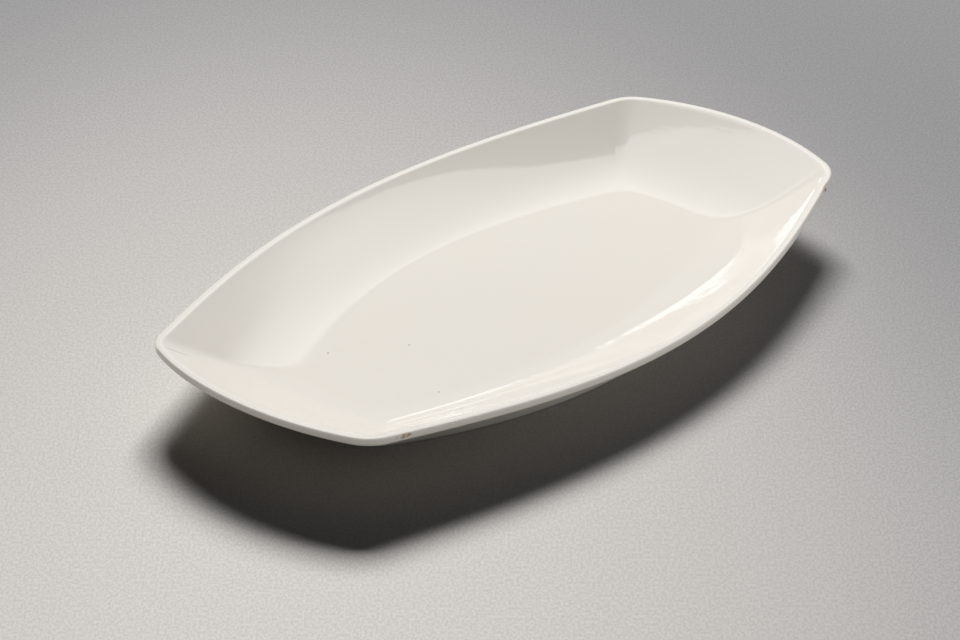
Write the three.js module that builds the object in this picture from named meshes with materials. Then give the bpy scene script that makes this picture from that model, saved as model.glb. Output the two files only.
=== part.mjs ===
// Boat-shaped serving plate in white glazed ceramic, millimetres, +Z up.
// +X runs along the length and the origin is under the middle, on the surface the plate stands on.
// Two pieces: the dished plate body, and the foot ring that is stuck under its flat base with slip.
import * as THREE from 'three';

// Overall size and rim outline, seen from above
const LENGTH = 300;
const WIDTH = 171;
const SIDE_BOW = 32;
const END_BOW = 12.6;
const SIDE_FULLNESS = 1.18;
const END_FULLNESS = 0.88;
const RIM_CORNER_RADIUS = 17;

// Rim height above the ground, and its boat-like sheer: ends high, middles of the long sides low
const RIM_HEIGHT = 23.5;
const END_RISE = 6;
const END_LEVELLING = 1.5;
const SIDE_DIP = 1.6;

// Rim section
const RIM_WIDTH = 2.4;
const RIM_FACE_HEIGHT = 2.8;
const RIM_TOP_ROUND = 0.9;
const RIM_INNER_ROUND = 0.7;
const RIM_UNDER_ROUND = 0.6;

// Foot of the sloping wall: how far in from the rim, how high above the well floor, and its outline.
// The wall hollows a little, so that it is steepest at the rim.
const WALL_RUN_END = 25;
const WALL_RUN_SIDE = 14;
const WALL_FOOT_RISE = 8;
const WALL_SAG = 0.35;
const WALL_FOOT_SIDE_BOW = 31;
const WALL_FOOT_END_BOW = 5.5;
const WALL_FOOT_CORNER_RADIUS = 7;

// Flat well floor: how far in from the foot of the wall, and its outline
const SWEEP_RUN_END = 26;
const SWEEP_RUN_SIDE = 27;
const FLOOR_SIDE_BOW = 25;
const FLOOR_END_BOW = 4;
const FLOOR_CORNER_RADIUS = 22;
const FLOOR_THICKNESS = 4;

// Underside of the wall: where it turns down towards the base, as shares of its run and of its drop
const UNDER_TURN_RUN = 0.8;
const UNDER_TURN_DROP = 0.66;

// Foot ring
const FOOT_HEIGHT = 4.6;
const FOOT_SET_IN_END = 36;
const FOOT_SET_IN_SIDE = 22;
const FOOT_SIDE_BOW = 33.8;
const FOOT_END_BOW = 8;
const FOOT_SIDE_FULLNESS = 0.94;
const FOOT_CORNER_RADIUS = 12.5;
const FOOT_WIDTH = 6.4;
const FOOT_TAPER = 0.5;
const FOOT_TOE_ROUND = 0.9;
const BASE_SHOULDER = 0.8;

// Fineness of the curves that the outlines are walked on, and of the mesh
const CURVE_STEPS = 40;
const SIDE_STEPS = 10;
const CORNER_STEPS = 6;
const END_STEPS = 5;
const WALL_STEPS = 4;
const SWEEP_STEPS = 5;
const UNDER_STEPS = 6;
const ROUND_STEPS = 3;

const WELL_FLOOR_HEIGHT = FOOT_HEIGHT + FLOOR_THICKNESS;

// One bowed edge: its distance from the middle line, at a share of the way from its crown to its corner
function bowedEdge(crown, bow, fullness, share) {
  const square = share * share;
  return crown - bow * (fullness * square + (1 - fullness) * square * square);
}

// Points of a polyline that are left once a length is cut from its start
function trimStart(points, length) {
  const trimmed = [];
  let walked = 0;
  for (let i = 1; i < points.length; i += 1) {
    const step = points[i].distanceTo(points[i - 1]);
    if (trimmed.length === 0 && walked + step > length) {
      trimmed.push(points[i - 1].clone().lerp(points[i], (length - walked) / step));
    }
    if (trimmed.length > 0) {
      trimmed.push(points[i]);
    }
    walked += step;
  }
  return trimmed;
}

// A polyline walked again in equal steps
function resample(points, steps) {
  const path = new THREE.CurvePath();
  for (let i = 1; i < points.length; i += 1) {
    path.add(new THREE.LineCurve(points[i - 1], points[i]));
  }
  return path.getSpacedPoints(steps);
}

// A quarter of a boat outline, from the crown of the long side round the corner to the crown of the end
function quarterOutline(size) {
  const cornerX = size.halfLength - size.endBow;
  const cornerY = size.halfWidth - size.sideBow;
  const side = [];
  const end = [];
  for (let i = 0; i <= CURVE_STEPS; i += 1) {
    const share = 1 - i / CURVE_STEPS;
    side.push(new THREE.Vector2(cornerX * share,
      bowedEdge(size.halfWidth, size.sideBow, size.sideFullness, share)));
    end.push(new THREE.Vector2(bowedEdge(size.halfLength, size.endBow, END_FULLNESS, share),
      cornerY * share));
  }
  const sideWay = side[1].clone().sub(side[0]).normalize();
  const endWay = end[1].clone().sub(end[0]).normalize();
  const turn = Math.acos(sideWay.dot(endWay.clone().negate()));
  const cut = size.cornerRadius * Math.tan(turn / 2);
  const sideRun = trimStart(side, cut).reverse();
  const endRun = trimStart(end, cut);
  const corner = new THREE.Vector2(cornerX, cornerY);
  const start = sideRun[sideRun.length - 1];
  const stop = endRun[0];
  const weight = Math.cos(turn / 2);
  const arc = [];
  for (let i = 1; i < CORNER_STEPS; i += 1) {
    const t = i / CORNER_STEPS;
    const shares = [(1 - t) * (1 - t), 2 * t * (1 - t) * weight, t * t];
    const total = shares[0] + shares[1] + shares[2];
    arc.push(start.clone().multiplyScalar(shares[0] / total)
      .addScaledVector(corner, shares[1] / total)
      .addScaledVector(stop, shares[2] / total));
  }
  return [...resample(sideRun, SIDE_STEPS), ...arc, ...resample(endRun, END_STEPS)];
}

// The whole outline, clockwise from the crown of the +Y side, seen from above
function outline(size) {
  const quarter = quarterOutline(size);
  const flip = (points, x, y) => points.map((p) => new THREE.Vector2(p.x * x, p.y * y));
  const back = quarter.slice().reverse();
  return [
    ...quarter.slice(0, -1),
    ...flip(back, 1, -1).slice(0, -1),
    ...flip(quarter, -1, -1).slice(0, -1),
    ...flip(back, -1, 1).slice(0, -1),
  ];
}

// An outline moved inwards by a width, square to its edge
function inset(points, width) {
  const count = points.length;
  return points.map((point, i) => {
    const way = points[(i + 1) % count].clone().sub(points[(i + count - 1) % count]).normalize();
    return new THREE.Vector2(point.x + way.y * width, point.y - way.x * width);
  });
}

const raise = (points, height) => points.map((p) => new THREE.Vector3(p.x, p.y, height(p)));
const atHeight = (points, height) => raise(points, () => height);

// Height of the rim's top above the ground at a point seen from above
function rimTop(point) {
  const along = (2 * point.x / LENGTH) ** 2;
  const across = (2 * point.y / WIDTH) ** 2;
  return RIM_HEIGHT + END_RISE * along - END_LEVELLING * along * along - SIDE_DIP * across;
}

// Rows between two rows, on curves that lean towards a middle row
function curveRows(from, middle, to, steps) {
  const rows = [];
  for (let k = 1; k < steps; k += 1) {
    rows.push(from.map((point, i) => new THREE.QuadraticBezierCurve3(point, middle[i], to[i])
      .getPoint(k / steps)));
  }
  return rows;
}

// Rows round a quarter turn at an edge of the rim, given in width from the edge and height from the top
function roundRows(edge, startWidth, startDrop, cornerWidth, cornerDrop, stopWidth, stopDrop) {
  const place = (width, drop) => {
    const points = inset(edge, width);
    return points.map((p, i) => new THREE.Vector3(p.x, p.y, rimTop(edge[i]) - drop));
  };
  const start = place(startWidth, startDrop);
  const stop = place(stopWidth, stopDrop);
  return [start, ...curveRows(start, place(cornerWidth, cornerDrop), stop, ROUND_STEPS), stop];
}

// A skin over rows of points: open rows are closed by a fan at each end, a ring of rows closes on itself
function skin(rows, closesOnItself) {
  const positions = [];
  const index = [];
  const count = rows[0].length;
  rows.forEach((row) => row.forEach((p) => positions.push(p.x, p.y, p.z)));
  const bands = closesOnItself ? rows.length : rows.length - 1;
  for (let r = 0; r < bands; r += 1) {
    const next = (r + 1) % rows.length;
    for (let i = 0; i < count; i += 1) {
      const j = (i + 1) % count;
      index.push(r * count + i, r * count + j, next * count + i);
      index.push(r * count + j, next * count + j, next * count + i);
    }
  }
  if (!closesOnItself) {
    const top = positions.length / 3;
    positions.push(0, 0, rows[0][0].z, 0, 0, rows[rows.length - 1][0].z);
    const lastRow = (rows.length - 1) * count;
    for (let i = 0; i < count; i += 1) {
      const j = (i + 1) % count;
      index.push(top, j, i);
      index.push(top + 1, lastRow + i, lastRow + j);
    }
  }
  const geometry = new THREE.BufferGeometry();
  geometry.setAttribute('position', new THREE.Float32BufferAttribute(positions, 3));
  geometry.setIndex(index);
  geometry.computeVertexNormals();
  return geometry;
}

function rimOutline() {
  return outline({
    halfLength: LENGTH / 2,
    halfWidth: WIDTH / 2,
    endBow: END_BOW,
    sideBow: SIDE_BOW,
    sideFullness: SIDE_FULLNESS,
    cornerRadius: RIM_CORNER_RADIUS,
  });
}

function wallFootOutline() {
  return outline({
    halfLength: LENGTH / 2 - WALL_RUN_END,
    halfWidth: WIDTH / 2 - WALL_RUN_SIDE,
    endBow: WALL_FOOT_END_BOW,
    sideBow: WALL_FOOT_SIDE_BOW,
    sideFullness: SIDE_FULLNESS,
    cornerRadius: WALL_FOOT_CORNER_RADIUS,
  });
}

function floorOutline() {
  return outline({
    halfLength: LENGTH / 2 - WALL_RUN_END - SWEEP_RUN_END,
    halfWidth: WIDTH / 2 - WALL_RUN_SIDE - SWEEP_RUN_SIDE,
    endBow: FLOOR_END_BOW,
    sideBow: FLOOR_SIDE_BOW,
    sideFullness: SIDE_FULLNESS,
    cornerRadius: FLOOR_CORNER_RADIUS,
  });
}

// Outline of the foot ring's outer face where it meets the base
function footOutline() {
  return outline({
    halfLength: LENGTH / 2 - FOOT_SET_IN_END,
    halfWidth: WIDTH / 2 - FOOT_SET_IN_SIDE,
    endBow: FOOT_END_BOW,
    sideBow: FOOT_SIDE_BOW,
    sideFullness: FOOT_SIDE_FULLNESS,
    cornerRadius: FOOT_CORNER_RADIUS,
  });
}

// Inside of the dish, from the flat floor up the swept curve and the sloping wall to the rim.
// The swept curve leaves the floor level and runs into the wall without a break.
function insideRows(edge) {
  const wallTop = inset(edge, RIM_WIDTH + RIM_INNER_ROUND)
    .map((p, i) => new THREE.Vector3(p.x, p.y, rimTop(edge[i]) - RIM_INNER_ROUND / 2));
  const wallFoot = atHeight(wallFootOutline(), WELL_FLOOR_HEIGHT + WALL_FOOT_RISE);
  const floor = atHeight(floorOutline(), WELL_FLOOR_HEIGHT);
  const wallMiddle = wallFoot.map((p, i) => {
    const point = p.clone().lerp(wallTop[i], 0.5);
    point.z -= WALL_SAG;
    return point;
  });
  const meeting = wallFoot.map((p, i) => {
    const run = WALL_FOOT_RISE / (wallMiddle[i].z - p.z);
    return p.clone().addScaledVector(wallMiddle[i].clone().sub(p), -run);
  });
  return {
    wallTop,
    rows: [
      floor,
      ...curveRows(floor, meeting, wallFoot, SWEEP_STEPS),
      wallFoot,
      ...curveRows(wallFoot, wallMiddle, wallTop, WALL_STEPS),
    ],
  };
}

// The rim itself: inner crest, narrow top, rounded outer edge, short upright face and its rounded arris
function rimRows(edge, wallTop) {
  const crest = inset(edge, RIM_WIDTH - RIM_INNER_ROUND)
    .map((p, i) => new THREE.Vector3(p.x, p.y, rimTop(edge[i])));
  const control = inset(edge, RIM_WIDTH)
    .map((p, i) => new THREE.Vector3(p.x, p.y, rimTop(edge[i])));
  return [
    wallTop,
    ...curveRows(wallTop, control, crest, ROUND_STEPS),
    crest,
    ...roundRows(edge, RIM_TOP_ROUND, 0, 0, 0, 0, RIM_TOP_ROUND),
    ...roundRows(edge, 0, RIM_FACE_HEIGHT - RIM_UNDER_ROUND, 0, RIM_FACE_HEIGHT,
      RIM_UNDER_ROUND, RIM_FACE_HEIGHT + RIM_UNDER_ROUND / 2),
  ];
}

// Underside, from below the rim inwards and down to the shoulder of the flat base
function undersideRows(edge) {
  const lip = inset(edge, RIM_UNDER_ROUND)
    .map((p, i) => new THREE.Vector3(p.x, p.y, rimTop(edge[i]) - RIM_FACE_HEIGHT - RIM_UNDER_ROUND / 2));
  const base = atHeight(inset(footOutline(), -BASE_SHOULDER), FOOT_HEIGHT);
  const turn = lip.map((p, i) => {
    const point = p.clone().lerp(base[i], UNDER_TURN_RUN);
    point.z = p.z + (base[i].z - p.z) * UNDER_TURN_DROP;
    return point;
  });
  return [...curveRows(lip, turn, base, UNDER_STEPS), base];
}

function plateBody() {
  const edge = rimOutline();
  const inside = insideRows(edge);
  const rows = [...inside.rows, ...rimRows(edge, inside.wallTop), ...undersideRows(edge)];
  return skin(rows, false);
}

// The foot ring: a tapered strip on edge, with rounded toes and a flat band that stands on the table
function footRing() {
  const foot = footOutline();
  const level = (width, height) => atHeight(inset(foot, width), height);
  const outerToe = FOOT_TAPER;
  const innerToe = FOOT_WIDTH - FOOT_TAPER;
  const rows = [
    level(0, FOOT_HEIGHT),
    level(outerToe, FOOT_TOE_ROUND),
    ...curveRows(level(outerToe, FOOT_TOE_ROUND), level(outerToe, 0),
      level(outerToe + FOOT_TOE_ROUND, 0), ROUND_STEPS),
    level(outerToe + FOOT_TOE_ROUND, 0),
    level(innerToe - FOOT_TOE_ROUND, 0),
    ...curveRows(level(innerToe - FOOT_TOE_ROUND, 0), level(innerToe, 0),
      level(innerToe, FOOT_TOE_ROUND), ROUND_STEPS),
    level(innerToe, FOOT_TOE_ROUND),
    level(FOOT_WIDTH, FOOT_HEIGHT),
  ];
  return skin(rows, true);
}

const glaze = new THREE.MeshStandardMaterial({ color: 0xe8e1d5, roughness: 0.12, metalness: 0 });
const bareClay = new THREE.MeshStandardMaterial({ color: 0xddd4c6, roughness: 0.6, metalness: 0 });

function piece(name, geometry, material) {
  const mesh = new THREE.Mesh(geometry, material);
  mesh.name = name;
  return mesh;
}

const plate = new THREE.Group();
plate.name = 'boat_plate';
plate.add(piece('plate_body', plateBody(), glaze));
plate.add(piece('foot_ring', footRing(), bareClay));

export default plate;
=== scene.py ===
# Boat-shaped serving plate in white glazed ceramic, dressed for its render.
import math

import bpy
import numpy as np
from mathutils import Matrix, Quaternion, Vector


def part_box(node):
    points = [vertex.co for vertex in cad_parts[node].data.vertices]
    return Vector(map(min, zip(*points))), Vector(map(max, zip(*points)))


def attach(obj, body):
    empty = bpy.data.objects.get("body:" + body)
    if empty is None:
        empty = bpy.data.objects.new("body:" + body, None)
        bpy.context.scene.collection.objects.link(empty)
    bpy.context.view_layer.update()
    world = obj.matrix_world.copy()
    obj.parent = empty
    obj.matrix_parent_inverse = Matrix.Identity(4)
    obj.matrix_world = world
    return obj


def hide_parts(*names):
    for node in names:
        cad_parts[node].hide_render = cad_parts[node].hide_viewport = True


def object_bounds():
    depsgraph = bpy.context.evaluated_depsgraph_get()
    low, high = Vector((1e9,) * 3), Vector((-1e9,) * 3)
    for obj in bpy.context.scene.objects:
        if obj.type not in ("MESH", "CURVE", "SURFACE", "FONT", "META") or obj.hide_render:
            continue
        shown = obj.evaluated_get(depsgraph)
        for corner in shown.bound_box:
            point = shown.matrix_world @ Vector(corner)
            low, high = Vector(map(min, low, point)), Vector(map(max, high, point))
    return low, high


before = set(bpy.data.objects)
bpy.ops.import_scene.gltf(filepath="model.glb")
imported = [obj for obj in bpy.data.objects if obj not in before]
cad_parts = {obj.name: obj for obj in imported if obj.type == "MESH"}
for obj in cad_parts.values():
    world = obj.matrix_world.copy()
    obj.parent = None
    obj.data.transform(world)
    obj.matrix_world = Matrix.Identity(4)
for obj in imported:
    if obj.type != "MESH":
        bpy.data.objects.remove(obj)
cad_low, cad_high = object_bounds()

MM = 0.001

# Overall sizes, read from the frame in millimetres
LENGTH = (cad_high.x - cad_low.x) / MM
WIDTH = (cad_high.y - cad_low.y) / MM
FOOT_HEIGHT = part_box("foot_ring")[1].z / MM

# Rim outline and the height of its top
SIDE_BOW = 32.0
END_BOW = 12.6
SIDE_FULLNESS = 1.18
END_FULLNESS = 0.88
RIM_CORNER_RADIUS = 17.0
RIM_HEIGHT = 23.5
END_RISE = 6.0
END_LEVELLING = 1.5
SIDE_DIP = 1.6

# Rim section
RIM_WIDTH = 2.4
RIM_FACE_HEIGHT = 2.8
RIM_TOP_ROUND = 0.9
RIM_INNER_ROUND = 0.7
RIM_UNDER_ROUND = 0.6

# Foot of the sloping wall, and the flat floor of the well
WALL_RUN_END = 25.0
WALL_RUN_SIDE = 14.0
WALL_FOOT_RISE = 8.0
WALL_SAG = 0.35
WALL_FOOT_SIDE_BOW = 31.0
WALL_FOOT_END_BOW = 5.5
WALL_FOOT_CORNER_RADIUS = 7.0
SWEEP_RUN_END = 26.0
SWEEP_RUN_SIDE = 27.0
FLOOR_SIDE_BOW = 25.0
FLOOR_END_BOW = 4.0
FLOOR_CORNER_RADIUS = 22.0
FLOOR_THICKNESS = 4.0
WELL_FLOOR_HEIGHT = FOOT_HEIGHT + FLOOR_THICKNESS

# Underside and foot ring
UNDER_TURN_RUN = 0.8
UNDER_TURN_DROP = 0.66
FOOT_SET_IN_END = 36.0
FOOT_SET_IN_SIDE = 22.0
FOOT_SIDE_BOW = 33.8
FOOT_END_BOW = 8.0
FOOT_SIDE_FULLNESS = 0.94
FOOT_CORNER_RADIUS = 12.5
FOOT_WIDTH = 6.4
FOOT_TAPER = 0.5
FOOT_TOE_ROUND = 0.9
BASE_SHOULDER = 0.8
FOOT_FILLET = 0.8
FOOT_FILLET_SET_IN = 0.1

# Fineness of the meshes
SIDE_STEPS = 72
CORNER_STEPS = 22
END_STEPS = 34
SIDE_CROWDING = 1.35
EDGE_POINTS = 241
WELL_SHARES = np.linspace(0.08, 0.92, 12)
SWEEP_ROWS = 18
WALL_ROWS = 18
RIM_INNER_ROWS = 7
RIM_TOP_ROWS = 8
RIM_UNDER_ROWS = 6
UNDERSIDE_ROWS = 20
BASE_SHARES = np.linspace(0.97, 0.08, 14)
FOOT_SIDE_ROWS = 5
FOOT_FILLET_ROWS = 5
FOOT_TOE_ROWS = 6

# Camera, from a fit of the rim's outline to the photograph
CAMERA_AZIMUTH = math.radians(-49.41)
CAMERA_ELEVATION = math.radians(29.1)
CAMERA_DISTANCE = 1.2187
CAMERA_TARGET = Vector((-0.04343, -0.02239, RIM_HEIGHT * MM))
CAMERA_LENS = 124.17
CAMERA_SENSOR = 36.0

# Soft panel over the far side that the glaze mirrors. Its sheet reaches to the left, right, near and far
# side in heights of the panel. Its edges are straight lines seen from the plate: each has the share of right,
# the share of away, the level where it lies in heights of the panel, and its softness. It has its two
# brightnesses at a near and a far level.
PANEL_HEIGHT = 2.2
PANEL_SHEET = (-0.9, 1.2, 0.25, 1.75)
PANEL_EDGES = (
    (0.06, 1.0, 0.315, 0.006),
    (0.777, 0.63, 0.018, 0.006),
    (1.0, 0.0, -0.75, 0.12),
    (0.0, -1.0, -1.6, 0.12),
    (-1.0, 0.6, -0.113, 0.012),
    (-1.0, 0.0, -0.62, 0.2),
)
PANEL_NEAR_LEVEL = 0.3
PANEL_NEAR_RADIANCE = 1.85
PANEL_FAR_LEVEL = 1.6
PANEL_FAR_RADIANCE = 1.1

# World: its tint, its even light, and its brightness where the glaze mirrors it
WORLD_COLOUR = (0.92, 0.96, 1.0)
WORLD_LIGHT = 0.02
WORLD_MIRRORED = 0.45

# Glaze: its two tints and their clouds, its gloss, and the depth of its orange peel and of its slow waves
# in metres. A scale is that of a noise over places in metres.
GLAZE_COLOUR = (0.845, 0.80, 0.73)
GLAZE_WARM = (0.85, 0.795, 0.715)
CLOUD_SCALE = 18.0
GLAZE_ROUGHNESS = 0.03
PEEL_SCALE = 320.0
PEEL_DEPTH = 0.000016
WAVE_SCALE = 42.0
WAVE_DEPTH = 0.00005

# Marks in the glaze, in millimetres: dark pinholes, and a brown stain on the rim's outer face that a noise
# breaks up. A mark has its full colour up to a share of its reach.
SPOT_CORE = 0.55
PINHOLES = (
    ((-54.8, 2.6, 8.6), 0.4),
    ((-78.9, 21.4, 8.6), 0.45),
    ((-73.6, -28.6, 8.6), 0.4),
    ((38.8, 59.6, 12.8), 0.5),
)
PINHOLE_COLOUR = (0.24, 0.17, 0.12)
STAIN_SPOT = (-125.6, -58.0, 25.2)
STAIN_SIZE = (4.2, 3.0, 1.0)
STAIN_COLOUR = (0.40, 0.22, 0.08)
STAIN_SCALE = 600.0
STAIN_LEVELS = (0.38, 0.55)

# Where the glaze runs thin, with a painted highlight: pale along the rim's crest, which lies a little
# outside the rim's inner edge, has a reach and a fade to each side, and ends at a drop below the rim's top.
# The pale colour is partly the thin glaze and partly a painted highlight of light glinting along the rim
RIM_PALE_AND_HIGHLIGHT = (0.89, 0.855, 0.80)
CREST_SET_OUT = 0.2
CREST_REACH = 0.8
CREST_FADE = 0.5
CREST_DROP = 1.0
CREST_DROP_FADE = 0.4

# Painted shade: a dark line down the crease of one corner, where the fold lies in shade
CREASE_SHADE_SPOT = (-133.6, 44.0, 24.4)
CREASE_SHADE_SIZE = (6.4, 0.36, 14.0)
CREASE_SHADE_TURN = (0.0, 0.0, math.radians(-40.0))
CREASE_SHADE_COLOUR = (0.50, 0.45, 0.40)

# Chip in the rim's outer edge: where it is, its length, its middle's drop below the rim's top, how far it
# reaches above and below that, its depth and the way it cuts, how ragged it is, and the share of its depth
# from which it is bare and matt
CHIP_SPOT = np.array([124.2, -58.4])
CHIP_LENGTH = 10.5
CHIP_DROP = 1.3
CHIP_REACH = 1.3
CHIP_DEPTH = 0.42
CHIP_WAY = np.array([-0.3, 0.85, -0.43])
CHIP_RAGGEDNESS = 0.35
CHIP_WAVES = (9.0, 4.0, 7.0)
CHIP_BARE_SHARE = 0.4
CHIP_MATT_LEVELS = (0.2, 0.8)
CHIP_ROUGHNESS = 0.85
CHIP_COLOUR = (0.78, 0.73, 0.655)
CHIP_DOT = (0.22, 0.12, 0.07)
CHIP_DOT_SPOT = (125.4, -58.0, 23.9)
CHIP_DOT_SIZE = (1.3, 1.0, 1.0)

# Foot ring: bare fired clay on the band that stands on the table, up to this height in millimetres. The
# band's edge wanders, and the glaze sets in over a short rise above it.
BARE_BAND = 0.9
BAND_WANDER = 0.6
BAND_WANDER_SCALE = 90.0
BAND_RISE = (0.2, 0.4)
BARE_CLAY = (0.74, 0.69, 0.61)
CLAY_ROUGHNESS = 0.75
GRIT_SCALE = 1500.0
GRIT_DEPTH = 0.00002
GRIT_SHADE = 0.82

# Grain of the paper floor: its two tones as shares of the floor's colour, and its noise, drawn out along
# the view
GRAIN_DARK = 0.93
GRAIN_LIGHT = 1.07
GRAIN_SCALE = 1100.0
GRAIN_STRETCH = (1.0, 1.7, 1.0)
GRAIN_LEVELS = (0.35, 0.65)

# Floor: its half width in metres, its lightest tone and its grey, where the lightest tone lies and how far it
# reaches across and along the view, and how softly it runs out into the grey. The lightest tone is a painted
# pool of light, and the grey around it is painted falloff of the light
FLOOR_HALF = 4.0
FLOOR_LIT_TONE = (0.50, 0.48, 0.455)
FLOOR_SHADED_GREY = (0.202, 0.199, 0.201)
FLOOR_LIGHT_POOL_SPOT = (-0.273, -0.113, 0.0)
FLOOR_LIGHT_POOL_REACH = (0.305, 0.603, 1.0)
FLOOR_LIGHT_POOL_RUN_OUT = 0.6
FLOOR_ROUGHNESS = 0.8

# Turn that sets a pattern square to the view, and the sockets of a node that mixes colours
VIEW_TURN = (0.0, 0.0, CAMERA_AZIMUTH)
MIX_SHARE = 0
MIX_FIRST = 6
MIX_SECOND = 7
MIX_RESULT = 2


def bowed_edge(crown, bow, fullness, share):
    """Distance of a bowed edge from the middle line, at shares of the way from its crown to its corner."""
    square = share * share
    return crown - bow * (fullness * square + (1 - fullness) * square * square)


def walked(points):
    """Length walked along a polyline at each of its points."""
    steps = np.linalg.norm(np.diff(points, axis=0), axis=1)
    return np.concatenate([[0.0], np.cumsum(steps)])


def along(points, lengths):
    """Points of a polyline at the given walked lengths."""
    way = walked(points)
    return np.column_stack([np.interp(lengths, way, points[:, axis]) for axis in range(points.shape[1])])


def quarter_outline(half_length, half_width, end_bow, side_bow, corner_radius, side_fullness=SIDE_FULLNESS):
    """A quarter of a boat outline, from the crown of the +Y side round the corner to the +X end."""
    corner = np.array([half_length - end_bow, half_width - side_bow])
    share = np.linspace(1.0, 0.0, EDGE_POINTS)
    side = np.column_stack([corner[0] * share, bowed_edge(half_width, side_bow, side_fullness, share)])
    end = np.column_stack([bowed_edge(half_length, end_bow, END_FULLNESS, share), corner[1] * share])
    side_way = (side[1] - side[0]) / np.linalg.norm(side[1] - side[0])
    end_way = (end[1] - end[0]) / np.linalg.norm(end[1] - end[0])
    turn = math.acos(-float(side_way @ end_way))
    cut = corner_radius * math.tan(turn / 2)
    side_length = walked(side)[-1]
    end_length = walked(end)[-1]
    spread = np.linspace(1.0, 0.0, SIDE_STEPS + 1) ** SIDE_CROWDING
    side_run = along(side, cut + (side_length - cut) * spread)
    end_run = along(end, cut + (end_length - cut) * np.linspace(0.0, 1.0, END_STEPS + 1))
    t = np.linspace(0.0, 1.0, CORNER_STEPS + 1)[1:-1, None]
    weight = math.cos(turn / 2)
    top = (1 - t) ** 2 * side_run[-1] + 2 * t * (1 - t) * weight * corner + t ** 2 * end_run[0]
    arc = top / ((1 - t) ** 2 + 2 * t * (1 - t) * weight + t ** 2)
    return np.vstack([side_run, arc, end_run])


def outline(*size, **more):
    """The whole outline, clockwise from the crown of the +Y side, seen from above."""
    quarter = quarter_outline(*size, **more)
    back = quarter[::-1]
    parts = [quarter[:-1], (back * [1, -1])[:-1], (quarter * [-1, -1])[:-1], (back * [-1, 1])[:-1]]
    return np.vstack(parts)


def inset(points, width):
    """An outline moved inwards by a width, square to its edge."""
    way = np.roll(points, -1, axis=0) - np.roll(points, 1, axis=0)
    way /= np.linalg.norm(way, axis=1)[:, None]
    return points + width * np.column_stack([way[:, 1], -way[:, 0]])


def at_height(points, height):
    """Points seen from above, set at a height or at one height each."""
    return np.column_stack([points, np.broadcast_to(height, len(points))])


def rim_top(points):
    """Height of the rim's top above the ground."""
    run = (2 * points[:, 0] / LENGTH) ** 2
    across = (2 * points[:, 1] / WIDTH) ** 2
    return RIM_HEIGHT + END_RISE * run - END_LEVELLING * run * run - SIDE_DIP * across


def straight_rows(start, stop, steps):
    """Rows strictly between two rows, on straight lines."""
    return [start + (stop - start) * k / steps for k in range(1, steps)]


def curved_rows(start, middle, stop, steps):
    """Rows strictly between two rows, on curves that lean towards a middle row."""
    rows = []
    for k in range(1, steps):
        t = k / steps
        rows.append((1 - t) ** 2 * start + 2 * t * (1 - t) * middle + t * t * stop)
    return rows


def round_rows(start, corner, stop, steps):
    """Rows round an edge, both ends kept."""
    return [start, *curved_rows(start, corner, stop, steps), stop]


rim_edge = outline(LENGTH / 2, WIDTH / 2, END_BOW, SIDE_BOW, RIM_CORNER_RADIUS)
wall_foot_edge = outline(LENGTH / 2 - WALL_RUN_END, WIDTH / 2 - WALL_RUN_SIDE, WALL_FOOT_END_BOW,
                         WALL_FOOT_SIDE_BOW, WALL_FOOT_CORNER_RADIUS)
floor_edge = outline(LENGTH / 2 - WALL_RUN_END - SWEEP_RUN_END, WIDTH / 2 - WALL_RUN_SIDE - SWEEP_RUN_SIDE,
                     FLOOR_END_BOW, FLOOR_SIDE_BOW, FLOOR_CORNER_RADIUS)
foot_edge = outline(LENGTH / 2 - FOOT_SET_IN_END, WIDTH / 2 - FOOT_SET_IN_SIDE, FOOT_END_BOW,
                    FOOT_SIDE_BOW, FOOT_CORNER_RADIUS, side_fullness=FOOT_SIDE_FULLNESS)


def rim_point_row(width, drop):
    """A row at a width in from the rim's edge and a drop below its top."""
    return at_height(inset(rim_edge, width), rim_top(rim_edge) - drop)


def body_rows():
    """Rows of the plate body, from the middle of the well over the rim to the middle of the base."""
    floor = at_height(floor_edge, WELL_FLOOR_HEIGHT)
    wall_foot = at_height(wall_foot_edge, WELL_FLOOR_HEIGHT + WALL_FOOT_RISE)
    wall_top = rim_point_row(RIM_WIDTH + RIM_INNER_ROUND, RIM_INNER_ROUND / 2)
    wall_middle = (wall_foot + wall_top) / 2 - [0.0, 0.0, WALL_SAG]
    run = WALL_FOOT_RISE / (wall_middle[:, 2:] - wall_foot[:, 2:])
    meeting = wall_foot - (wall_middle - wall_foot) * run
    middle = np.array([0.0, 0.0, WELL_FLOOR_HEIGHT])
    rows = [middle + (floor - middle) * share for share in WELL_SHARES]
    rows += round_rows(floor, meeting, wall_foot, SWEEP_ROWS)
    rows += curved_rows(wall_foot, wall_middle, wall_top, WALL_ROWS)
    rows += round_rows(wall_top, rim_point_row(RIM_WIDTH, 0.0),
                       rim_point_row(RIM_WIDTH - RIM_INNER_ROUND, 0.0), RIM_INNER_ROWS)
    rows += round_rows(rim_point_row(RIM_TOP_ROUND, 0.0), rim_point_row(0.0, 0.0),
                       rim_point_row(0.0, RIM_TOP_ROUND), RIM_TOP_ROWS)
    lip = rim_point_row(RIM_UNDER_ROUND, RIM_FACE_HEIGHT + RIM_UNDER_ROUND / 2)
    rows += round_rows(rim_point_row(0.0, RIM_FACE_HEIGHT - RIM_UNDER_ROUND),
                       rim_point_row(0.0, RIM_FACE_HEIGHT), lip, RIM_UNDER_ROWS)
    base = at_height(inset(foot_edge, -BASE_SHOULDER), FOOT_HEIGHT)
    turn = lip + (base - lip) * [UNDER_TURN_RUN, UNDER_TURN_RUN, UNDER_TURN_DROP]
    rows += curved_rows(lip, turn, base, UNDERSIDE_ROWS)
    rows.append(base)
    under = np.array([0.0, 0.0, FOOT_HEIGHT])
    rows += [under + (base - under) * share for share in BASE_SHARES]
    return rows


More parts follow.
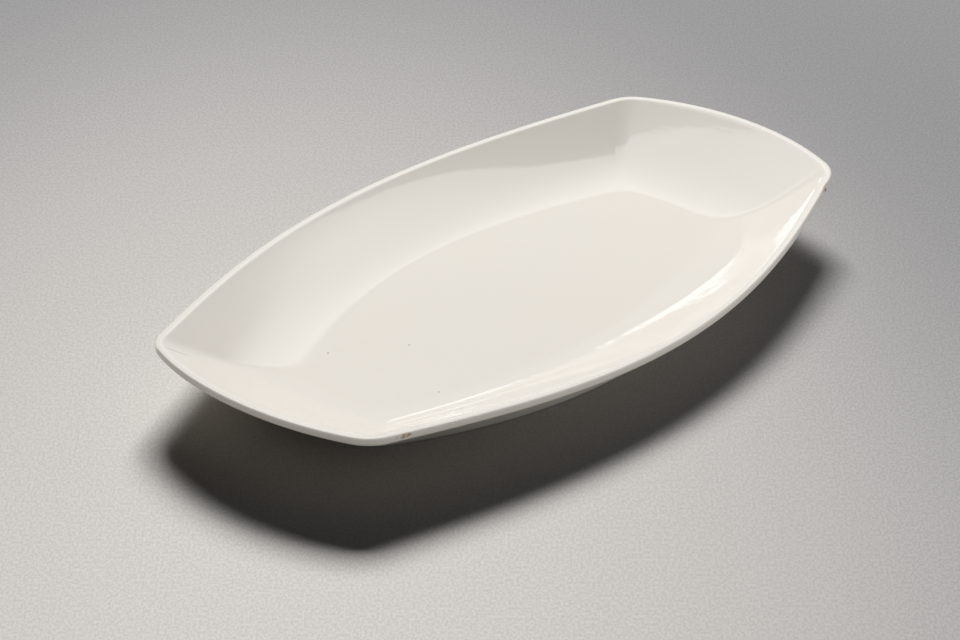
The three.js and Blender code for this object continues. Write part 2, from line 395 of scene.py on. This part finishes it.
def foot_rows():
    """Rows round the section of the foot ring."""
    def level(width, height):
        return at_height(inset(foot_edge, width), height)
    outer = FOOT_TAPER
    inner = FOOT_WIDTH - FOOT_TAPER
    outer_neck = level(FOOT_FILLET_SET_IN, FOOT_HEIGHT - FOOT_FILLET)
    inner_neck = level(FOOT_WIDTH - FOOT_FILLET_SET_IN, FOOT_HEIGHT - FOOT_FILLET)
    rows = round_rows(level(-FOOT_FILLET, FOOT_HEIGHT), level(0.0, FOOT_HEIGHT), outer_neck, FOOT_FILLET_ROWS)
    rows += straight_rows(outer_neck, level(outer, FOOT_TOE_ROUND), FOOT_SIDE_ROWS)
    rows += round_rows(level(outer, FOOT_TOE_ROUND), level(outer, 0.0),
                       level(outer + FOOT_TOE_ROUND, 0.0), FOOT_TOE_ROWS)
    rows += round_rows(level(inner - FOOT_TOE_ROUND, 0.0), level(inner, 0.0),
                       level(inner, FOOT_TOE_ROUND), FOOT_TOE_ROWS)
    rows += straight_rows(level(inner, FOOT_TOE_ROUND), inner_neck, FOOT_SIDE_ROWS)
    rows += round_rows(inner_neck, level(FOOT_WIDTH, FOOT_HEIGHT),
                       level(FOOT_WIDTH + FOOT_FILLET, FOOT_HEIGHT), FOOT_FILLET_ROWS)
    return rows


def chip_depth(points):
    """How deep the chip cuts at each point, from its distance along the rim and below the rim's top."""
    away = np.linalg.norm(points[:, :2] - CHIP_SPOT, axis=1) / (CHIP_LENGTH / 2)
    drop = (rim_top(points) - points[:, 2] - CHIP_DROP) / CHIP_REACH
    waves = points * CHIP_WAVES
    ragged = 1.0 + CHIP_RAGGEDNESS * np.sin(waves[:, 0]) * np.sin(waves[:, 2] + waves[:, 1])
    return CHIP_DEPTH * np.sqrt(np.clip(1.0 - away ** 2 - drop ** 2, 0.0, 1.0)) * ragged


def chipped(rows):
    """Rows of the body with the chip knocked out of the rim's outer edge."""
    return [row + chip_depth(row)[:, None] * CHIP_WAY for row in rows]


def mark(piece, name, values):
    """Gives a piece one number at each of its points, for its material."""
    piece.data.attributes.new(name, "FLOAT", "POINT").data.foreach_set("value", values.astype(np.float32))


def dress_body():
    """The plate body, with marks for the thin glaze and painted highlight of its edge and the bare clay of
    its chip.
    """
    rows = body_rows()
    piece = skin("plate_body_glazed", chipped(rows), False)
    # The skin adds two points, in the middles of the well and of the base, and neither mark reaches them
    points = np.vstack([*rows, np.zeros((2, 3))])
    edges = np.vstack([np.tile(rim_edge, (len(rows), 1)), np.zeros((2, 2))])
    reach = np.linalg.norm(points[:, :2] - edges, axis=1)
    # Band of the pale rim: partly thin glaze, partly painted highlight
    crest_highlight = np.clip((CREST_REACH - np.abs(reach - RIM_WIDTH + CREST_SET_OUT)) / CREST_FADE, 0.0, 1.0)
    drop = rim_top(points) - points[:, 2]
    mark(piece, "thin_edge_and_highlight", crest_highlight * np.clip((CREST_DROP - drop) / CREST_DROP_FADE, 0.0, 1.0))
    mark(piece, "chip", np.clip(chip_depth(points) / (CHIP_BARE_SHARE * CHIP_DEPTH), 0.0, 1.0))
    return piece


def skin(name, rows, closes_on_itself):
    """A mesh over rows of points in millimetres."""
    count = len(rows[0])
    points = np.vstack(rows)
    faces = []
    last = len(rows) if closes_on_itself else len(rows) - 1
    for r in range(last):
        here, there = r * count, ((r + 1) % len(rows)) * count
        for i in range(count):
            j = (i + 1) % count
            faces.append((here + i, here + j, there + j, there + i))
    if not closes_on_itself:
        centres = [[0.0, 0.0, rows[0][0, 2]], [0.0, 0.0, rows[-1][0, 2]]]
        top = len(points)
        points = np.vstack([points, centres])
        end = (len(rows) - 1) * count
        for i in range(count):
            j = (i + 1) % count
            faces.append((top, j, i))
            faces.append((top + 1, end + i, end + j))
    mesh = bpy.data.meshes.new(name)
    mesh.from_pydata([tuple(p) for p in points * MM], [], faces)
    mesh.polygons.foreach_set("use_smooth", [True] * len(mesh.polygons))
    mesh.update()
    piece = bpy.data.objects.new(name, mesh)
    bpy.context.scene.collection.objects.link(piece)
    return piece


def plain_material(name, colour, roughness):
    """A material with one colour and one roughness, for its nodes to be added to."""
    material = bpy.data.materials.new(name)
    material.use_nodes = True
    shader = material.node_tree.nodes["Principled BSDF"]
    shader.inputs["Base Color"].default_value = (*colour, 1.0)
    shader.inputs["Roughness"].default_value = roughness
    return material


def glaze_material():
    """Warm white glaze with a faint orange peel, slow waves, a few pinholes and a stain on the rim."""
    material = plain_material("white_glaze", GLAZE_COLOUR, GLAZE_ROUGHNESS)
    nodes = material.node_tree.nodes
    links = material.node_tree.links
    shader = nodes["Principled BSDF"]
    place = nodes.new("ShaderNodeNewGeometry").outputs["Position"]
    cloud = noise(nodes, links, place, CLOUD_SCALE, 2.0)
    colour = blend(nodes, links, cloud, GLAZE_COLOUR, GLAZE_WARM)
    for spot, radius in PINHOLES:
        mask = spot_mask(nodes, links, place, spot, (radius, radius, radius))
        colour = blend(nodes, links, mask, colour, PINHOLE_COLOUR)
    patch = spot_mask(nodes, links, place, STAIN_SPOT, STAIN_SIZE)
    blots = ramp(nodes, links, noise(nodes, links, place, STAIN_SCALE, 3.0), *STAIN_LEVELS)
    colour = blend(nodes, links, product(nodes, links, patch, blots), colour, STAIN_COLOUR)
    # Painted shade: the glaze is darkened along the crease of one corner
    crease_shade = spot_mask(nodes, links, place, CREASE_SHADE_SPOT, CREASE_SHADE_SIZE, CREASE_SHADE_TURN)
    colour = blend(nodes, links, crease_shade, colour, CREASE_SHADE_COLOUR)
    # Painted highlight and thin glaze: the rim's crest is paler
    colour = blend(nodes, links, marked(nodes, "thin_edge_and_highlight"), colour, RIM_PALE_AND_HIGHLIGHT)
    chip = marked(nodes, "chip")
    colour = blend(nodes, links, chip, colour, CHIP_COLOUR)
    dot = spot_mask(nodes, links, place, CHIP_DOT_SPOT, CHIP_DOT_SIZE)
    colour = blend(nodes, links, dot, colour, CHIP_DOT)
    links.new(colour, shader.inputs["Base Color"])
    gloss = ramp(nodes, links, chip, *CHIP_MATT_LEVELS, first=GLAZE_ROUGHNESS, last=CHIP_ROUGHNESS)
    links.new(gloss, shader.inputs["Roughness"])
    peel = noise(nodes, links, place, PEEL_SCALE, 1.0)
    waves = noise(nodes, links, place, WAVE_SCALE, 0.0)
    fine = bump(nodes, links, peel, PEEL_DEPTH)
    slow = bump(nodes, links, waves, WAVE_DEPTH)
    links.new(fine.outputs["Normal"], slow.inputs["Normal"])
    links.new(slow.outputs["Normal"], shader.inputs["Normal"])
    return material


def marked(nodes, name):
    """The number that a piece holds at each of its points under a name."""
    node = nodes.new("ShaderNodeAttribute")
    node.attribute_name = name
    return node.outputs["Fac"]


def foot_material():
    """Glazed sides over a bare, matt band of fired clay where the ring stands on the table."""
    material = plain_material("bare_clay", BARE_CLAY, CLAY_ROUGHNESS)
    nodes = material.node_tree.nodes
    links = material.node_tree.links
    shader = nodes["Principled BSDF"]
    place = nodes.new("ShaderNodeNewGeometry").outputs["Position"]
    apart = nodes.new("ShaderNodeSeparateXYZ")
    links.new(place, apart.inputs["Vector"])
    wander = noise(nodes, links, place, BAND_WANDER_SCALE, 1.0)
    height = nodes.new("ShaderNodeMath")
    height.operation = "MULTIPLY_ADD"
    height.inputs[1].default_value = BAND_WANDER * MM
    links.new(wander, height.inputs[0])
    links.new(apart.outputs["Z"], height.inputs[2])
    glazed = ramp(nodes, links, height.outputs["Value"], *((BARE_BAND + rise) * MM for rise in BAND_RISE))
    grit = noise(nodes, links, place, GRIT_SCALE, 3.0)
    clay = blend(nodes, links, grit, BARE_CLAY, tuple(GRIT_SHADE * value for value in BARE_CLAY))
    links.new(blend(nodes, links, glazed, clay, GLAZE_COLOUR), shader.inputs["Base Color"])
    gloss = ramp(nodes, links, glazed, 0.0, 1.0, first=CLAY_ROUGHNESS, last=GLAZE_ROUGHNESS)
    links.new(gloss, shader.inputs["Roughness"])
    links.new(bump(nodes, links, grit, GRIT_DEPTH).outputs["Normal"], shader.inputs["Normal"])
    return material


def noise(nodes, links, place, scale, detail):
    """A noise over places, from 0 to 1."""
    node = nodes.new("ShaderNodeTexNoise")
    node.inputs["Scale"].default_value = scale
    node.inputs["Detail"].default_value = detail
    links.new(place, node.inputs["Vector"])
    return node.outputs["Fac"]


def ramp(nodes, links, value, start, stop, first=0.0, last=1.0, shape="SMOOTHSTEP"):
    """A ramp between two values, from 0 to 1 or from a first level to a last."""
    node = nodes.new("ShaderNodeMapRange")
    node.interpolation_type = shape
    node.inputs["From Min"].default_value = start
    node.inputs["From Max"].default_value = stop
    node.inputs["To Min"].default_value = first
    node.inputs["To Max"].default_value = last
    links.new(value, node.inputs["Value"])
    return node.outputs["Result"]


def product(nodes, links, first, second):
    """The product of the outputs of two nodes."""
    node = nodes.new("ShaderNodeMath")
    node.operation = "MULTIPLY"
    links.new(first, node.inputs[0])
    links.new(second, node.inputs[1])
    return node.outputs["Value"]


def blend(nodes, links, share, first, second):
    """A mix of two colours, each a plain colour or the output of a node."""
    node = nodes.new("ShaderNodeMix")
    node.data_type = "RGBA"
    links.new(share, node.inputs[MIX_SHARE])
    for socket, colour in ((MIX_FIRST, first), (MIX_SECOND, second)):
        if isinstance(colour, tuple):
            node.inputs[socket].default_value = (*colour, 1.0)
        else:
            links.new(colour, node.inputs[socket])
    return node.outputs[MIX_RESULT]


def local_place(nodes, links, place, size, turn, spot=(0.0, 0.0, 0.0)):
    """A place measured from a spot, along turned axes and in shares of a size."""
    node = nodes.new("ShaderNodeMapping")
    node.vector_type = "TEXTURE"
    node.inputs["Location"].default_value = spot
    node.inputs["Rotation"].default_value = turn
    node.inputs["Scale"].default_value = size
    links.new(place, node.inputs["Vector"])
    return node.outputs["Vector"]


def spot_mask(nodes, links, place, spot, size, turn=(0.0, 0.0, 0.0)):
    """1 inside a small round or oval spot, falling to 0 at its edge. Sizes are in millimetres."""
    scale, middle = ([value * MM for value in lengths] for lengths in (size, spot))
    local = local_place(nodes, links, place, scale, turn, middle)
    reach = nodes.new("ShaderNodeVectorMath")
    reach.operation = "LENGTH"
    links.new(local, reach.inputs[0])
    return ramp(nodes, links, reach.outputs["Value"], 1.0, SPOT_CORE)


def bump(nodes, links, height, depth):
    """A node that tilts the surface by a height, with the depth in metres."""
    node = nodes.new("ShaderNodeBump")
    node.inputs["Strength"].default_value = 1.0
    node.inputs["Distance"].default_value = depth
    links.new(height, node.inputs["Height"])
    return node


def make_camera():
    """A camera where the fit of the rim's outline puts it."""
    back = Vector((math.sin(CAMERA_AZIMUTH) * math.cos(CAMERA_ELEVATION),
                   -math.cos(CAMERA_AZIMUTH) * math.cos(CAMERA_ELEVATION),
                   math.sin(CAMERA_ELEVATION)))
    camera = bpy.data.cameras.new("camera")
    camera.lens = CAMERA_LENS
    camera.sensor_width = CAMERA_SENSOR
    holder = bpy.data.objects.new("camera", camera)
    holder.rotation_mode = "QUATERNION"
    holder.location = CAMERA_TARGET + back * CAMERA_DISTANCE
    holder.rotation_quaternion = (-back).to_track_quat("-Z", "Y")
    bpy.context.scene.collection.objects.link(holder)
    bpy.context.scene.camera = holder


def lamp(name, spot, turn, width, height, radiance, mirrored=True, lighting=True):
    """A soft rectangular lamp. It can be left out of mirror images, or show in nothing else."""
    light = bpy.data.lights.new(name, "AREA")
    light.shape = "RECTANGLE"
    light.size = width
    light.size_y = height
    light.energy = radiance * math.pi * width * height
    holder = bpy.data.objects.new(name, light)
    holder.rotation_mode = "QUATERNION"
    holder.location = spot
    holder.rotation_quaternion = turn
    holder.visible_glossy = mirrored
    holder.visible_diffuse = lighting
    bpy.context.scene.collection.objects.link(holder)
    return holder


def facing_lamp(name, bearing, elevation, distance, width, height, radiance, **more):
    """A lamp that faces the plate. Bearing 0 is behind it as the camera sees it, and goes up to the right."""
    azimuth = CAMERA_AZIMUTH + math.pi - math.radians(bearing)
    e = math.radians(elevation)
    way = Vector((math.sin(azimuth) * math.cos(e), -math.cos(azimuth) * math.cos(e), math.sin(e)))
    return lamp(name, way * distance, (-way).to_track_quat("-Z", "Y"), width, height, radiance, **more)


def overhead_lamp(name, height, left, right, near, far, radiance, **more):
    """A lamp that faces straight down: its edges are given to the camera's right and away from the camera."""
    spot = direction((left + right) / 2, (near + far) / 2)
    spot.z = height
    turn = Quaternion((0.0, 0.0, 1.0), CAMERA_AZIMUTH)
    return lamp(name, spot, turn, right - left, far - near, radiance, **more)


def mirrored_panel():
    """The panel over the far side. It shows in the glaze and lights nothing."""
    edges = [share * PANEL_HEIGHT for share in PANEL_SHEET]
    holder = overhead_lamp("mirrored_panel", PANEL_HEIGHT, *edges, 1.0, lighting=False)
    light = holder.data
    light.use_nodes = True
    nodes = light.node_tree.nodes
    links = light.node_tree.links
    place = nodes.new("ShaderNodeNewGeometry").outputs["Position"]
    strength = panel_ramp(nodes, links, place, direction(0.0, 1.0), PANEL_NEAR_LEVEL, PANEL_FAR_LEVEL,
                          first=PANEL_NEAR_RADIANCE, last=PANEL_FAR_RADIANCE, shape="LINEAR")
    for edge in PANEL_EDGES:
        strength = product(nodes, links, strength, panel_edge(nodes, links, place, *edge))
    links.new(strength, nodes["Emission"].inputs["Strength"])
    return holder


def panel_edge(nodes, links, place, to_right, to_away, middle, softness):
    """1 on the panel's side of a straight edge and 0 beyond it."""
    way = direction(to_right, to_away)
    return panel_ramp(nodes, links, place, way, middle - softness, middle + softness)


def direction(to_right, to_away):
    """A level direction, from its shares to the camera's right and away from the camera."""
    right = Vector((math.cos(CAMERA_AZIMUTH), math.sin(CAMERA_AZIMUTH), 0.0))
    away = Vector((-math.sin(CAMERA_AZIMUTH), math.cos(CAMERA_AZIMUTH), 0.0))
    return right * to_right + away * to_away


def panel_ramp(nodes, links, place, way, start, stop, **more):
    """A ramp across the panel, between two levels in heights of the panel."""
    level = nodes.new("ShaderNodeVectorMath")
    level.operation = "DOT_PRODUCT"
    level.inputs[1].default_value = way / PANEL_HEIGHT
    links.new(place, level.inputs[0])
    return ramp(nodes, links, level.outputs["Value"], start, stop, **more)


def only_on(holder, pieces):
    """Limits a lamp to the given pieces."""
    group = bpy.data.collections.new(holder.name + "_on")
    for piece in pieces:
        group.objects.link(piece)
    holder.light_linking.receiver_collection = group


def make_world():
    """An even world, brighter in mirror images than its light is."""
    world = bpy.data.worlds.new("studio")
    world.use_nodes = True
    nodes = world.node_tree.nodes
    links = world.node_tree.links
    background = nodes["Background"]
    background.inputs["Color"].default_value = (*WORLD_COLOUR, 1.0)
    mirrored = nodes.new("ShaderNodeLightPath").outputs["Is Glossy Ray"]
    level = ramp(nodes, links, mirrored, 0.0, 1.0, first=WORLD_LIGHT, last=WORLD_MIRRORED, shape="LINEAR")
    links.new(level, background.inputs["Strength"])
    bpy.context.scene.world = world


def make_floor():
    """The level floor that the plate stands on."""
    mesh = bpy.data.meshes.new("floor")
    corners = [(FLOOR_HALF * x, FLOOR_HALF * y, 0.0) for x, y in ((-1, -1), (1, -1), (1, 1), (-1, 1))]
    mesh.from_pydata(corners, [], [(0, 1, 2, 3)])
    floor = bpy.data.objects.new("floor", mesh)
    bpy.context.scene.collection.objects.link(floor)
    floor.data.materials.append(floor_material())
    return floor


def floor_material():
    """Pale paper with a painted pool of light in front of the plate, greying away from there as painted
    falloff.
    """
    material = plain_material("floor", FLOOR_LIT_TONE, FLOOR_ROUGHNESS)
    nodes = material.node_tree.nodes
    links = material.node_tree.links
    shader = nodes["Principled BSDF"]
    shader.inputs["Specular IOR Level"].default_value = 0.0
    place = nodes.new("ShaderNodeNewGeometry").outputs["Position"]
    # Painted pool of light: the floor is lightest round a spot in front of the plate and greys away from it
    spread = local_place(nodes, links, place, FLOOR_LIGHT_POOL_REACH, VIEW_TURN, FLOOR_LIGHT_POOL_SPOT)
    square = nodes.new("ShaderNodeVectorMath")
    square.operation = "DOT_PRODUCT"
    links.new(spread, square.inputs[0])
    links.new(spread, square.inputs[1])
    level = nodes.new("ShaderNodeMath")
    level.operation = "SMOOTH_MIN"
    level.inputs[1].default_value = 1.0
    level.inputs[2].default_value = FLOOR_LIGHT_POOL_RUN_OUT
    links.new(square.outputs["Value"], level.inputs[0])
    colour = blend(nodes, links, level.outputs["Value"], FLOOR_LIT_TONE, FLOOR_SHADED_GREY)
    weave = local_place(nodes, links, place, GRAIN_STRETCH, VIEW_TURN)
    grain = ramp(nodes, links, noise(nodes, links, weave, GRAIN_SCALE, 2.0), *GRAIN_LEVELS)
    tone = blend(nodes, links, grain, (GRAIN_DARK,) * 3, (GRAIN_LIGHT,) * 3)
    paper = nodes.new("ShaderNodeMix")
    paper.data_type = "RGBA"
    paper.blend_type = "MULTIPLY"
    paper.inputs[MIX_SHARE].default_value = 1.0
    links.new(colour, paper.inputs[MIX_FIRST])
    links.new(tone, paper.inputs[MIX_SECOND])
    links.new(paper.outputs[MIX_RESULT], shader.inputs["Base Color"])
    return material


make_camera()
floor = make_floor()
make_world()

body = dress_body()
body.data.materials.append(glaze_material())
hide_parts("plate_body")
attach(body, "root")

foot = skin("foot_ring_fired", foot_rows(), True)
foot.data.materials.append(foot_material())
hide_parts("foot_ring")
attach(foot, "root")

plate = [body, foot]
# Lamps: bearings and elevations in degrees, distances and sizes in metres. One lights the floor, and the low
# fill at the right lights the floor and the plate. The others are on the plate alone.
only_on(facing_lamp("floor_key", bearing=0.0, elevation=37.5, distance=5.0, width=1.9, height=1.25,
                    radiance=79.0, mirrored=False), [floor])
only_on(facing_lamp("plate_key", bearing=-14.0, elevation=35.0, distance=2.0, width=1.05, height=0.62,
                    radiance=17.9, mirrored=False), plate)
only_on(overhead_lamp("plate_top", height=2.0, left=-1.2, right=1.2, near=-0.6, far=1.8,
                      radiance=0.66, mirrored=False), plate)
only_on(mirrored_panel(), plate)
only_on(overhead_lamp("panel_heart", height=PANEL_HEIGHT, left=-1.0, right=0.79, near=1.3, far=2.9,
                      radiance=0.95, lighting=False), plate)
only_on(facing_lamp("low_strip", bearing=-22.5, elevation=3.7, distance=3.0, width=1.9, height=0.39,
                    radiance=1.25, lighting=False), plate)
only_on(facing_lamp("side_fill", bearing=-105.0, elevation=62.0, distance=2.0, width=2.2, height=2.2,
                    radiance=0.3), plate)
only_on(facing_lamp("front_fill", bearing=150.0, elevation=60.0, distance=2.0, width=2.2, height=2.2,
                    radiance=0.72, mirrored=False), plate)
facing_lamp("right_fill", bearing=105.0, elevation=15.0, distance=0.35, width=0.3, height=0.15, radiance=1.3)

scene = bpy.context.scene
scene.view_settings.view_transform = "Standard"
